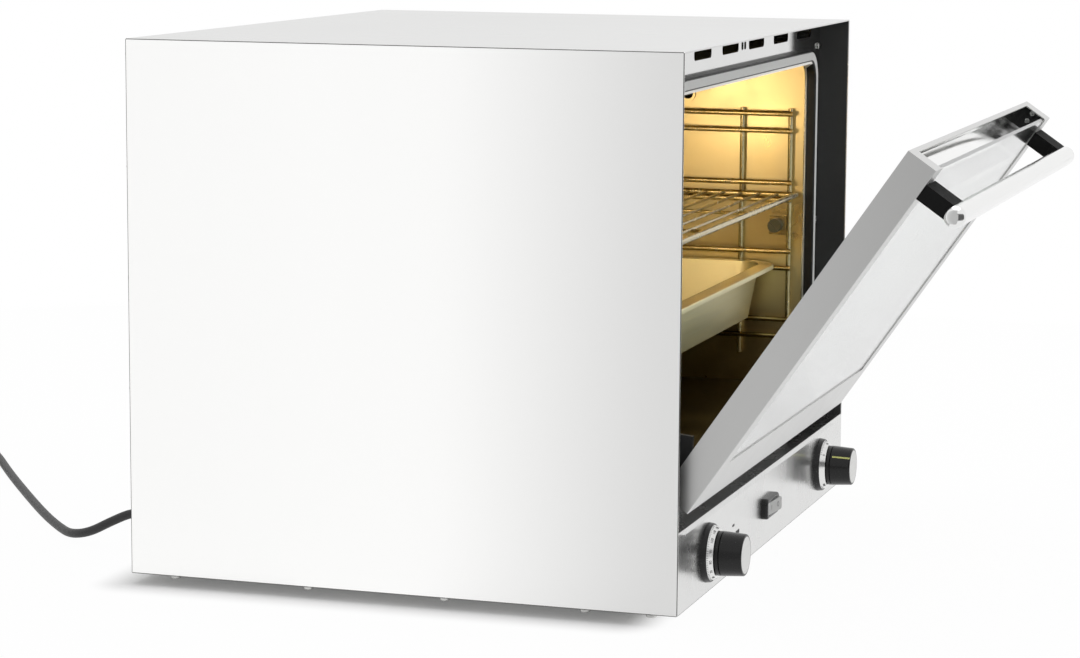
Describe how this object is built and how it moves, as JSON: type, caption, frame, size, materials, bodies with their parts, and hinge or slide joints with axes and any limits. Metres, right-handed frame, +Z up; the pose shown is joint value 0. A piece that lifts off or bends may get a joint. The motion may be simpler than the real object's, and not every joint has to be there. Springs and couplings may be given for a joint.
{
  "type": "countertop convection oven",
  "caption": "Stainless steel countertop convection oven with a drop-down glass door standing ajar, wire shelf, pan, side racks, dials, rocker switch and a mains lead.",
  "frame": {"origin": "on the floor under the middle of the casing", "axes": "+Z up, the door faces -Y, +X to the right seen from the front"},
  "size_m": [0.7798, 1.5175, 0.57],
  "materials": {
    "brushed_stainless": "satin",
    "polished_stainless": "polished",
    "chamber_stainless": "satin",
    "black_enamel": "gloss",
    "zinc_screw": "satin",
    "seal_rubber": "satin",
    "foot_rubber": "matte",
    "mineral_wool": "matte",
    "motor_metal": "satin",
    "fan_steel": "satin",
    "heater_sheath": "matte",
    "lamp_metal": "satin",
    "lamp_glass": "gloss",
    "bright_wire": "polished",
    "pan_metal": "satin",
    "dial_black": "matte",
    "dial_silver": "satin",
    "control_shaft": "satin",
    "control_case": "matte",
    "switch_black": "gloss",
    "switch_grey": "satin",
    "door_glass": "gloss",
    "handle_metal": "satin",
    "handle_black": "satin",
    "cord_rubber": "matte"
  },
  "bodies": {
    "casing": {"side_panel_right": "brushed_stainless", "side_panel_left": "brushed_stainless", "top_panel": "brushed_stainless", "rear_panel": "brushed_stainless", "base_plate": "brushed_stainless", "front_frame": "polished_stainless", "control_panel": "polished_stainless", "chamber_floor": "chamber_stainless", "chamber_roof": "chamber_stainless", "chamber_wall_left": "chamber_stainless", "chamber_wall_right": "chamber_stainless", "chamber_back_wall": "chamber_stainless", "chamber_stays": "chamber_stainless", "fan_guard": "chamber_stainless", "recess_liners": "black_enamel", "casing_screws": "zinc_screw", "hinge_lugs": "zinc_screw", "rack_nuts": "zinc_screw", "door_seal": "seal_rubber", "feet": "foot_rubber", "insulation": "mineral_wool", "fan_motor": "motor_metal", "heating_element": "heater_sheath", "lamp_holder": "lamp_metal", "vent_bush": "lamp_metal", "temperature_probe": "lamp_metal", "lamp_lens": "lamp_glass", "lamp_bulb": "lamp_glass", "side_racks": "bright_wire", "dial_bases": "dial_black", "dial_rings": "dial_silver", "timer_body": "control_case", "thermostat_body": "control_case", "terminal_block": "control_case", "switch_bezel": "switch_black", "cord_gland": "cord_rubber", "power_cord": "cord_rubber", "cord_coil": "cord_rubber", "cord_tie": "cord_rubber", "mains_plug": "cord_rubber"},
    "door": {"door_shell": "polished_stainless", "door_outer_glass": "door_glass", "door_inner_panel": "polished_stainless", "door_inner_glass": "door_glass", "door_top_channel": "polished_stainless", "hinge_blocks": "black_enamel", "hinge_pins": "zinc_screw", "handle_tube": "handle_metal", "handle_brackets": "handle_black"},
    "timer_knob": {"timer_knob_grip": "dial_black", "timer_knob_cap": "dial_silver", "timer_shaft": "control_shaft"},
    "thermostat_knob": {"thermostat_knob_grip": "dial_black", "thermostat_knob_cap": "dial_silver", "thermostat_shaft": "control_shaft"},
    "fan": {"fan_impeller": "fan_steel", "fan_shaft": "fan_steel"},
    "rocker": {"switch_rocker": "switch_grey"},
    "shelf": {"wire_shelf": "bright_wire"},
    "pan": {"baking_pan": "pan_metal"}
  },
  "joints": [
    {"name": "door_hinge", "type": "hinge", "parent": "casing", "child": "door", "pos_m": [0, -0.291, 0.127], "axis": [1, 0, 0], "range_deg": [-34.5, 55.5]},
    {"name": "timer_turn", "type": "hinge", "parent": "casing", "child": "timer_knob", "pos_m": [-0.255, -0.32, 0.054], "axis": [0, 1, 0], "range_deg": [0, 300]},
    {"name": "thermostat_turn", "type": "hinge", "parent": "casing", "child": "thermostat_knob", "pos_m": [0.255, -0.32, 0.054], "axis": [0, 1, 0], "range_deg": [0, 270]},
    {"name": "fan_spin", "type": "hinge", "parent": "casing", "child": "fan", "pos_m": [0, 0.15, 0.333], "axis": [0, 1, 0], "continuous": true},
    {"name": "rocker_tilt", "type": "hinge", "parent": "casing", "child": "rocker", "pos_m": [0, -0.3, 0.054], "axis": [0, 0, 1], "range_deg": [0, 10]},
    {"name": "shelf_slide", "type": "slide", "parent": "casing", "child": "shelf", "axis": [0, -1, 0], "range_m": [-0.015, 0.012]},
    {"name": "pan_slide", "type": "slide", "parent": "casing", "child": "pan", "axis": [0, -1, 0], "range_m": [-0.01, 0.03]}
  ]
}
